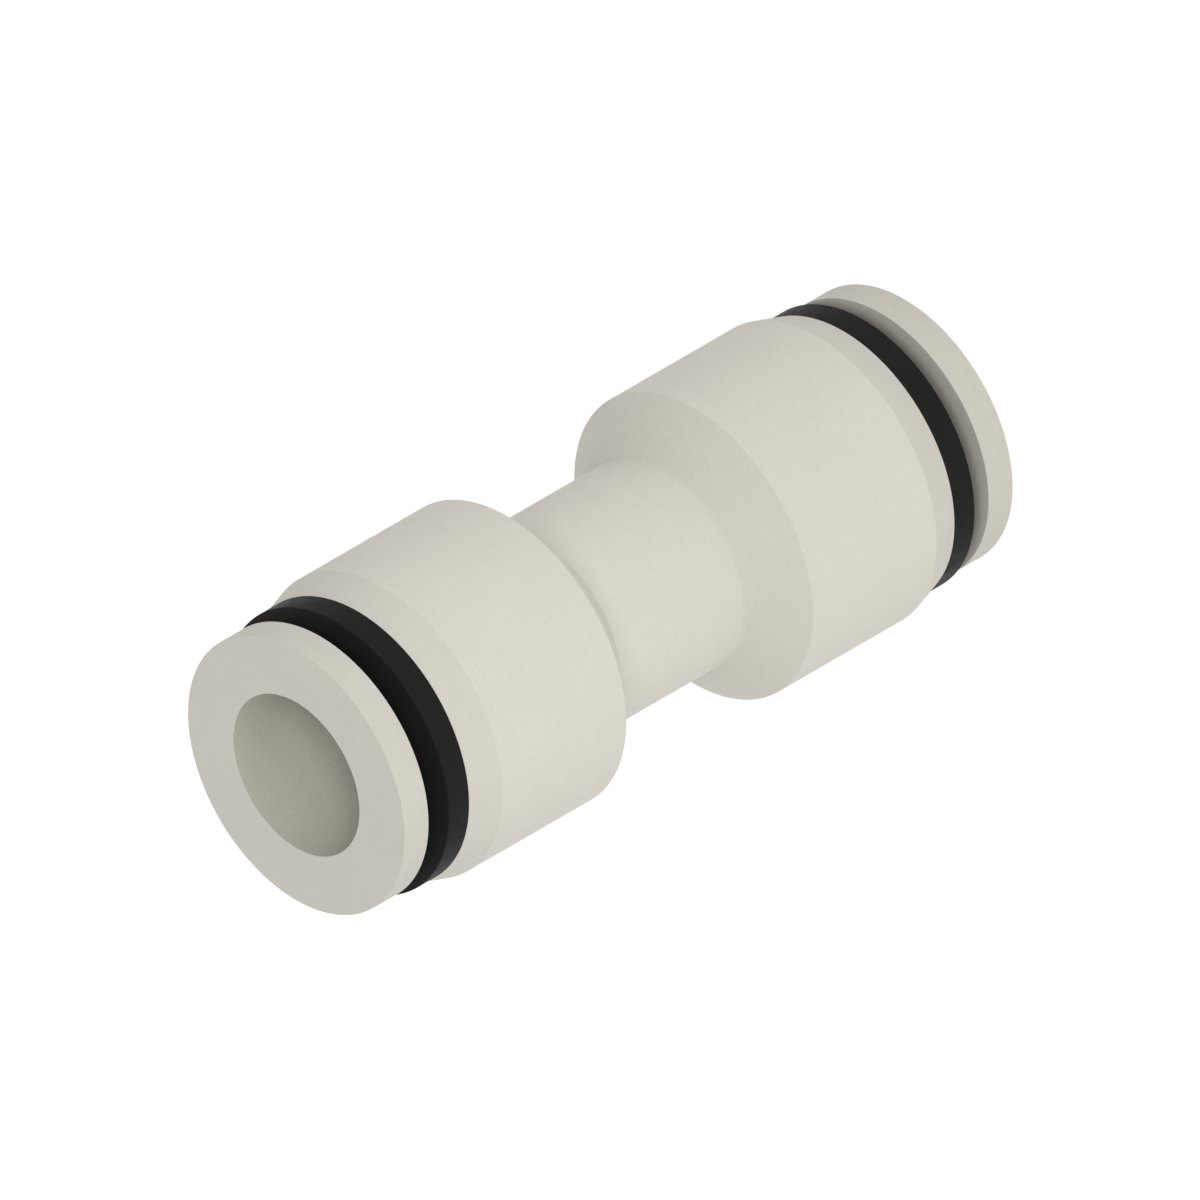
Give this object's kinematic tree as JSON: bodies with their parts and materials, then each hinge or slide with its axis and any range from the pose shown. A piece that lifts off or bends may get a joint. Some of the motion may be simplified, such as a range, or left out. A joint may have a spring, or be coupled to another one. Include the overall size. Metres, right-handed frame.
{
  "type": "push-fit union",
  "caption": "Straight push-fit union for plastic tube: a white moulded body with a thinner neck, black guide rings and flanged release buttons at both ends.",
  "frame": {"origin": "on the union's axis, at the bottom of the flange of the lower release button, where the union stands", "axes": "+Z along the tube axis, up from end b to end a; X and Y across, about which the union is round"},
  "size_m": [0.0154, 0.0154, 0.0391],
  "materials": {
    "white_resin": "fine satin moulded white polypropylene with a faint mottle",
    "button_resin": "fine satin moulded white polypropylene with a faint mottle",
    "black_resin": "satin black moulded resin",
    "natural_resin": "satin natural acetal",
    "spring_steel": "bright stamped stainless spring sheet",
    "seal_rubber": "matte black moulded rubber"
  },
  "bodies": {
    "fitting": {"union_body": "white_resin", "guide_ring_a": "black_resin", "guide_ring_b": "black_resin", "backup_ring_a": "natural_resin", "backup_ring_b": "natural_resin", "seal_a": "seal_rubber", "seal_b": "seal_rubber"},
    "button_a": {"release_button_a": "button_resin"},
    "button_b": {"release_button_b": "button_resin"},
    "gripper_a": {"collet_a": "natural_resin", "claw_ring_a": "spring_steel"},
    "gripper_b": {"collet_b": "natural_resin", "claw_ring_b": "spring_steel"}
  },
  "joints": [
    {"name": "button_a_slide", "type": "slide", "parent": "fitting", "child": "button_a", "axis": [0, 0, -1], "range_m": [0, 0.001], "stiffness_N_per_m": 4000, "springref_m": -0.00025},
    {"name": "gripper_a_slide", "type": "slide", "parent": "fitting", "child": "gripper_a", "axis": [0, 0, -1], "range_m": [0, 0.001]},
    {"name": "button_b_slide", "type": "slide", "parent": "fitting", "child": "button_b", "axis": [0, 0, 1], "range_m": [0, 0.001], "stiffness_N_per_m": 4000, "springref_m": -0.00025},
    {"name": "gripper_b_slide", "type": "slide", "parent": "fitting", "child": "gripper_b", "axis": [0, 0, 1], "range_m": [0, 0.001]}
  ],
  "couplings": [
    {"joint": "gripper_a_slide", "follows": "button_a_slide", "ratio": 1},
    {"joint": "gripper_b_slide", "follows": "button_b_slide", "ratio": 1}
  ]
}
